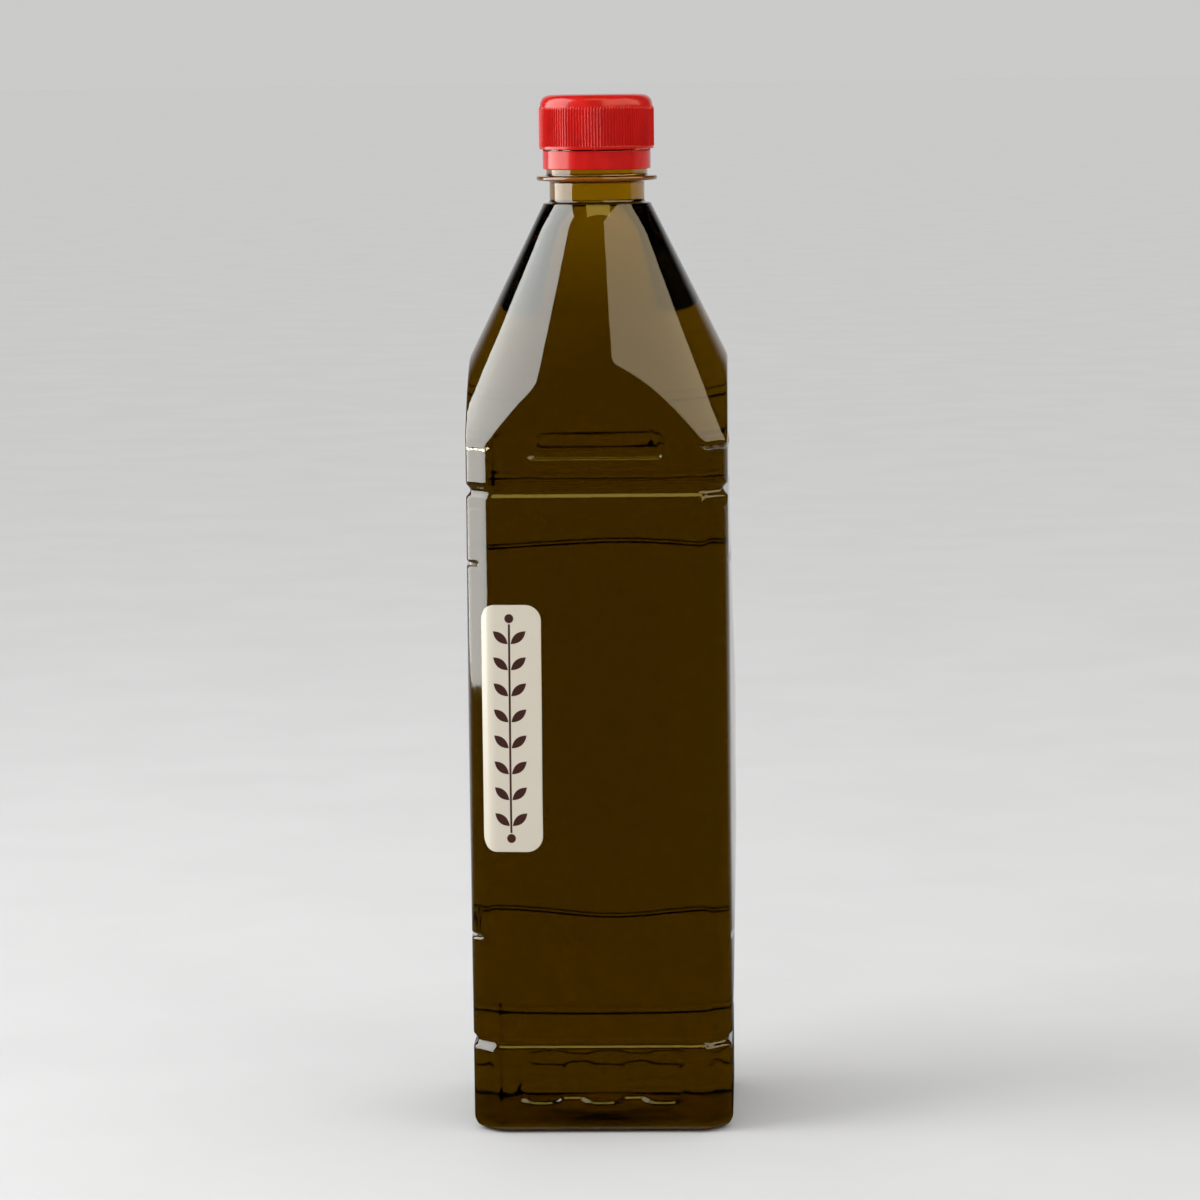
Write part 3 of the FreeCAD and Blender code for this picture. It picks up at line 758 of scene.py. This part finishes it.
def with_repeats(piece, name, unit, count, material):
    """Repeat a unit round the upright axis with Geometry Nodes, join it to a piece, and give a plain mesh."""
    unit_object = bpy.data.objects.new(name + "_unit", unit)
    bpy.context.scene.collection.objects.link(unit_object)
    tree = bpy.data.node_groups.new(name, "GeometryNodeTree")
    face = tree.interface
    face.new_socket("Geometry", in_out="INPUT", socket_type="NodeSocketGeometry")
    sockets = {
        "Unit": face.new_socket("Unit", in_out="INPUT", socket_type="NodeSocketObject"),
        "Count": face.new_socket("Count", in_out="INPUT", socket_type="NodeSocketInt"),
        "Finish": face.new_socket("Finish", in_out="INPUT", socket_type="NodeSocketMaterial"),
    }
    face.new_socket("Geometry", in_out="OUTPUT", socket_type="NodeSocketGeometry")
    nodes = tree.nodes
    start = nodes.new("NodeGroupInput")
    end = nodes.new("NodeGroupOutput")
    points = nodes.new("GeometryNodePoints")
    index = nodes.new("GeometryNodeInputIndex")
    share = nodes.new("ShaderNodeMath")
    share.operation = "DIVIDE"
    angle = nodes.new("ShaderNodeMath")
    angle.operation = "MULTIPLY"
    angle.inputs[1].default_value = FULL_TURN
    spin = nodes.new("ShaderNodeCombineXYZ")
    info = nodes.new("GeometryNodeObjectInfo")
    instances = nodes.new("GeometryNodeInstanceOnPoints")
    turned = nodes.new("GeometryNodeRotateInstances")
    realize = nodes.new("GeometryNodeRealizeInstances")
    join = nodes.new("GeometryNodeJoinGeometry")
    paint = nodes.new("GeometryNodeSetMaterial")
    for source, output, target, socket in (
        (start, "Count", points, "Count"), (start, "Unit", info, "Object"), (index, 0, share, 0),
        (start, "Count", share, 1), (share, 0, angle, 0), (angle, 0, spin, "Z"), (points, 0, instances, "Points"),
        (info, "Geometry", instances, "Instance"), (instances, 0, turned, "Instances"),
        (spin, 0, turned, "Rotation"), (start, "Geometry", join, 0), (turned, 0, join, 0),
        (join, 0, realize, 0), (realize, 0, paint, "Geometry"), (start, "Finish", paint, "Material"),
        (paint, 0, end, 0),
    ):
        tree.links.new(source.outputs[output], target.inputs[socket])
    modifier = piece.modifiers.new(name, "NODES")
    modifier.node_group = tree
    modifier[sockets["Unit"].identifier] = unit_object
    modifier[sockets["Count"].identifier] = count
    modifier[sockets["Finish"].identifier] = material
    bpy.context.view_layer.update()
    depsgraph = bpy.context.evaluated_depsgraph_get()
    mesh = bpy.data.meshes.new_from_object(piece.evaluated_get(depsgraph))
    piece.modifiers.remove(modifier)
    piece.data = mesh
    if not mesh.materials:
        mesh.materials.append(material)
    bpy.data.objects.remove(unit_object)
    return piece


class OILBOTTLE_OT_band(bpy.types.Operator):
    """Build the tamper band and its bridges"""

    bl_idname = "oilbottle.band"
    bl_label = "Tamper band"

    def execute(self, context):
        c = context.scene.closure_sizes
        top = c.cap_low - c.band_gap
        line = rounded((
            (c.band_dia / 2 - 0.0003, top, 0), (c.band_dia / 2, top, 0.0003), (c.band_dia / 2, c.band_low, 0.0004),
            (c.cap_bore / 2, c.band_low, 0.0002), (c.cap_bore / 2, top, 0.0002), (c.band_dia / 2 - 0.0003, top, 0),
        ))
        red = red_plastic(context.scene.bottle_colours, "red_band")
        piece = ring_piece("tamper_ring", line[:-1], 200, red)
        middle = (c.cap_bore + c.band_dia) / 4
        half = 0.0003
        low, high = top - 0.0002, c.cap_low + 0.00005
        bridge = block_mesh("bridge", middle - half, middle + half, c.bridge_wide, low, high)
        bridge.materials.append(red)
        piece = with_repeats(piece, "band_bridges", bridge, c.bridge_count, red)
        place(piece, "red_plastic", "tamper_band")
        return {"FINISHED"}


def block_mesh(name, near, far, wide, low, high):
    """Make a small block that stands off the axis."""
    made = bmesh.new()
    bmesh.ops.create_cube(made, size=1)
    for vert in made.verts:
        vert.co = Vector((
            near if vert.co.x < 0 else far, wide * vert.co.y, low if vert.co.z < 0 else high,
        ))
    mesh = bpy.data.meshes.new(name)
    made.to_mesh(mesh)
    made.free()
    return mesh


def ring_piece(name, line, count, material):
    """Turn a closed profile round the axis into a ring."""
    points = np.concatenate(lathe(line, count))
    faces = []
    for row in range(len(line)):
        below = row * count
        above = (row + 1) % len(line) * count
        for index in range(count):
            ahead = (index + 1) % count
            faces.append((below + index, below + ahead, above + ahead, above + index))
    piece = new_piece(name, points, faces, [material])
    flip_if_inside_out(piece)
    return piece


class OILBOTTLE_OT_sticker(bpy.types.Operator):
    """Build the sticker that wraps round the left front corner"""

    bl_idname = "oilbottle.sticker"
    bl_label = "Sticker"

    def execute(self, context):
        s = context.scene.bottle_sizes
        k = context.scene.sticker_sizes
        form = Form(s)
        middle = (k.high + k.low) / 2
        tall = k.high - k.low
        # distance along the skin from the right edge, measured on the flat face and then on the corner flat
        flat_part = form.flat - k.right
        wide = flat_part + k.wrap * math.sqrt(2)
        across = np.linspace(0, wide, 61)
        bend = k.round * (1 - np.cos(np.radians(np.linspace(0, 90, 14))))
        along = np.concatenate([-tall / 2 + bend[:-1], np.linspace(-tall / 2 + k.round, tall / 2 - k.round, 90),
                                (tall / 2 - bend[:-1])[::-1]])
        grid = []
        flat = []
        for up in along:
            cut = max(abs(up) - (tall / 2 - k.round), 0)
            trim = k.round - math.sqrt(max(k.round ** 2 - cut ** 2, 0))
            row = trim + (wide - 2 * trim) * across / wide
            on_face = row <= flat_part
            x = np.where(on_face, -(k.right + row), -(form.flat + (row - flat_part) / math.sqrt(2)))
            y = np.where(on_face, -form.half, -form.half + (row - flat_part) / math.sqrt(2))
            turn = np.arctan2(x, -y)
            height = np.full_like(turn, middle + up)
            radius = form.prism(turn, height, 0.0, True)
            grid.append((turn, radius, height))
            flat.append(np.stack([wide / 2 - row, np.full_like(row, up)], axis=1))
        piece = sheet_piece("corner_sticker", grid, flat, k.thick, cream_paper(context.scene.bottle_colours))
        place(piece, "cream_paper", "sticker")
        return {"FINISHED"}


def sheet_piece(name, grid, flat, thick, material):
    """Make a thin closed sheet over a grid of spots on the body, with its flat place as its UV map."""
    rows = len(grid)
    count = len(grid[0][0])
    outer = np.concatenate([ring_points(turn, radius + thick, height) for turn, radius, height in grid])
    inner = np.concatenate([ring_points(turn, radius - 0.00002, height) for turn, radius, height in grid])
    points = np.concatenate([outer, inner])
    total = rows * count
    faces = []
    for row in range(rows - 1):
        for index in range(count - 1):
            here = row * count + index
            faces.append((here, here + 1, here + count + 1, here + count))
            faces.append((total + here, total + here + count, total + here + count + 1, total + here + 1))
    rim = list(range(count)) + [row * count + count - 1 for row in range(1, rows)]
    rim += [(rows - 1) * count + index for index in range(count - 2, -1, -1)]
    rim += [row * count for row in range(rows - 2, 0, -1)]
    for index, here in enumerate(rim):
        ahead = rim[(index + 1) % len(rim)]
        faces.append((ahead, here, total + here, total + ahead))
    piece = new_piece(name, points, faces, [material])
    places = np.concatenate(flat) * 1000
    layer = piece.data.uv_layers.new(name="flat")
    for loop in piece.data.loops:
        layer.data[loop.index].uv = places[loop.vertex_index % total]
    flip_if_inside_out(piece)
    return piece


# --- stage -----------------------------------------------------------------------------------------
def pale_floor(colours):
    """Pale matt floor that keeps the shadow: paler where seen through the bottle, dark in front in gloss."""
    finish = Finish("pale_floor")
    where = finish.place()
    mottle = finish.noise(where, 14, 4.0)
    tone = finish.blend(mottle.step(0.3, 0.7), tuple(0.97 * part for part in colours.floor), tuple(colours.floor))
    matt = finish.node("ShaderNodeBsdfDiffuse", None, {"Color": tone})
    dark = finish.node("ShaderNodeBsdfDiffuse", None, {"Color": (0.0, 0.0, 0.0)})
    split = finish.nodes.new("ShaderNodeSeparateXYZ")
    finish.links.new(where.socket, split.inputs[0])
    before = 1 - Value(finish, split.outputs[1]).step(0.0, 0.5)
    glossy = finish.node("ShaderNodeLightPath", out="Is Glossy Ray")
    passed = finish.node("ShaderNodeLightPath", out="Is Transmission Ray")
    even = finish.node("ShaderNodeEmission", None, {"Color": tuple(colours.floor), "Strength": LEVEL})
    lit = finish.node("ShaderNodeMixShader", None, {0: passed * SEEN_THROUGH, 1: matt, 2: even})
    share = glossy * (1 - passed) * before
    return finish.surface(finish.node("ShaderNodeMixShader", None, {0: share, 1: lit, 2: dark}))


def room_light(scene, colours):
    """Even soft light all round and a pale far background; in gloss the room is dim on the near side."""
    room = Finish("room_nodes")
    world = bpy.data.worlds.new("room")
    scene.world = world
    world.use_nodes = True
    bpy.data.materials.remove(room.material)
    room.nodes = world.node_tree.nodes
    room.links = world.node_tree.links
    room.nodes.clear()
    room.output = room.nodes.new("ShaderNodeOutputWorld")
    soft = room.node("ShaderNodeBackground", None, {"Color": (1.0, 1.0, 1.0), "Strength": LEVEL})
    far = room.node("ShaderNodeBackground", None, {"Color": tuple(colours.floor), "Strength": LEVEL})
    dark = room.node("ShaderNodeBackground", None, {"Color": (0.0, 0.0, 0.0), "Strength": 0.0})
    camera = room.node("ShaderNodeLightPath", out="Is Camera Ray")
    passed = room.node("ShaderNodeLightPath", out="Is Transmission Ray")
    glossy = room.node("ShaderNodeLightPath", out="Is Glossy Ray")
    split = room.nodes.new("ShaderNodeSeparateXYZ")
    heading = room.node("ShaderNodeTexCoord", out="Generated")
    room.links.new(heading.socket, split.inputs[0])
    behind = Value(room, split.outputs[1]).step(0.72, 0.97)
    mirrored = glossy * (1 - passed)
    seen = (camera + passed).maths("MINIMUM", 1.0)
    plain = room.node("ShaderNodeMixShader", None, {0: seen.maths("MAXIMUM", mirrored), 1: soft, 2: far})
    room.surface(room.node("ShaderNodeMixShader", None, {0: mirrored * (1 - behind), 1: plain, 2: dark}))


def panel(name, centre, target, wide, tall, strength, tint, gloss):
    """Hang a soft panel; gloss says whether it is there for reflections or for shading."""
    light = bpy.data.lights.new(name, "AREA")
    light.shape = "RECTANGLE"
    light.size = wide
    light.size_y = tall
    light.color = tint
    # strength is the panel's brightness, where 1 is white
    light.energy = strength * wide * tall * math.pi
    lamp = bpy.data.objects.new(name, light)
    bpy.context.scene.collection.objects.link(lamp)
    lamp.location = centre
    lamp.rotation_euler = (Vector(target) - Vector(centre)).to_track_quat("-Z", "Y").to_euler()
    lamp.visible_camera = False
    lamp.visible_transmission = False
    lamp.visible_glossy = gloss
    lamp.visible_diffuse = not gloss
    return lamp


class OILBOTTLE_OT_stage(bpy.types.Operator):
    """Set up the pale floor, the soft light and the camera"""

    bl_idname = "oilbottle.stage"
    bl_label = "Stage"

    def execute(self, context):
        scene = context.scene
        colours = scene.bottle_colours
        bpy.ops.mesh.primitive_circle_add(vertices=96, radius=40, fill_type="NGON", location=(0, 0, -0.0002))
        floor = context.active_object
        floor.name = "floor"
        floor.data.materials.append(pale_floor(colours))
        room_light(scene, colours)
        panel("left_window", (-0.70, 0.02, 0.655), (0, 0.02, 0.655), 0.84, 1.25, 5.8, (0.97, 0.98, 0.94), True)
        bearing = math.radians(60.5)
        spot = (0.9 * math.sin(bearing), -0.9 * math.cos(bearing))
        panel("right_window", (*spot, 1.15), (0, 0, 1.15), 1.75, 1.4, 2.9, (1.0, 0.83, 0.53), True)
        panel("top_window", (0.05, -0.55, 1.65), (0, 0, 0.2), 0.9, 0.5, 3.0, (1.0, 0.76, 0.16), True)
        panel("left_fill", (-0.9, -0.3, 0.7), (0, 0, 0.15), 0.8, 0.9, 3.6, (0.98, 0.98, 1.0), False)
        panel("right_fill", (0.9, -0.7, 1.0), (0, 0, 0.15), 0.8, 0.8, 0.7, (1.0, 0.97, 0.92), False)
        self.camera(scene)
        scene.view_settings.view_transform = "Standard"
        return {"FINISHED"}

    def camera(self, scene):
        """Stand the camera a little above the cap, looking down at the bottle."""
        lens = bpy.data.cameras.new("camera")
        lens.sensor_width = 36
        lens.lens = 140.4
        lens.clip_start = 0.05
        lens.clip_end = 100
        eye = bpy.data.objects.new("camera", lens)
        scene.collection.objects.link(eye)
        away, height = 1.270, 0.2896
        side, swing, down, roll = (math.radians(angle) for angle in (2.0, 0.021, 6.70, -0.66))
        eye.location = (away * math.sin(side), -away * math.cos(side), height)
        eye.matrix_world = (
            Matrix.Translation(eye.location) @ Matrix.Rotation(side + swing, 4, "Z")
            @ Matrix.Rotation(math.pi / 2 - down, 4, "X") @ Matrix.Rotation(roll, 4, "Z")
        )
        scene.camera = eye


class OILBOTTLE_PT_panel(bpy.types.Panel):
    """Sizes, colours and parts of the oil bottle"""

    bl_idname = "OILBOTTLE_PT_panel"
    bl_label = "Oil Bottle"
    bl_space_type = "VIEW_3D"
    bl_region_type = "UI"
    bl_category = "Oil Bottle"

    def draw(self, context):
        layout = self.layout
        for name in GROUPS:
            box = layout.box()
            group = getattr(context.scene, name)
            for key in group.__annotations__:
                box.prop(group, key)
        for operator in OPERATORS:
            layout.operator(operator.bl_idname)


GROUPS = {
    "bottle_sizes": BottleSizes, "closure_sizes": ClosureSizes, "sticker_sizes": StickerSizes,
    "bottle_colours": BottleColours,
}
OPERATORS = (OILBOTTLE_OT_shell, OILBOTTLE_OT_oil, OILBOTTLE_OT_cap, OILBOTTLE_OT_band, OILBOTTLE_OT_sticker,
             OILBOTTLE_OT_stage)


def register():
    """Register the groups, the operators and the panel."""
    for name, group in GROUPS.items():
        bpy.utils.register_class(group)
        setattr(bpy.types.Scene, name, PointerProperty(type=group))
    for operator in OPERATORS:
        bpy.utils.register_class(operator)
    bpy.utils.register_class(OILBOTTLE_PT_panel)


def unregister():
    """Take back what register added."""
    bpy.utils.unregister_class(OILBOTTLE_PT_panel)
    for operator in reversed(OPERATORS):
        bpy.utils.unregister_class(operator)
    for name, group in reversed(GROUPS.items()):
        delattr(bpy.types.Scene, name)
        bpy.utils.unregister_class(group)


def main():
    """Build the bottle and its stage."""
    register()
    bpy.ops.oilbottle.shell()
    bpy.ops.oilbottle.oil()
    bpy.ops.oilbottle.cap()
    bpy.ops.oilbottle.band()
    bpy.ops.oilbottle.sticker()
    bpy.ops.oilbottle.stage()


if __name__ == "__main__":
    main()
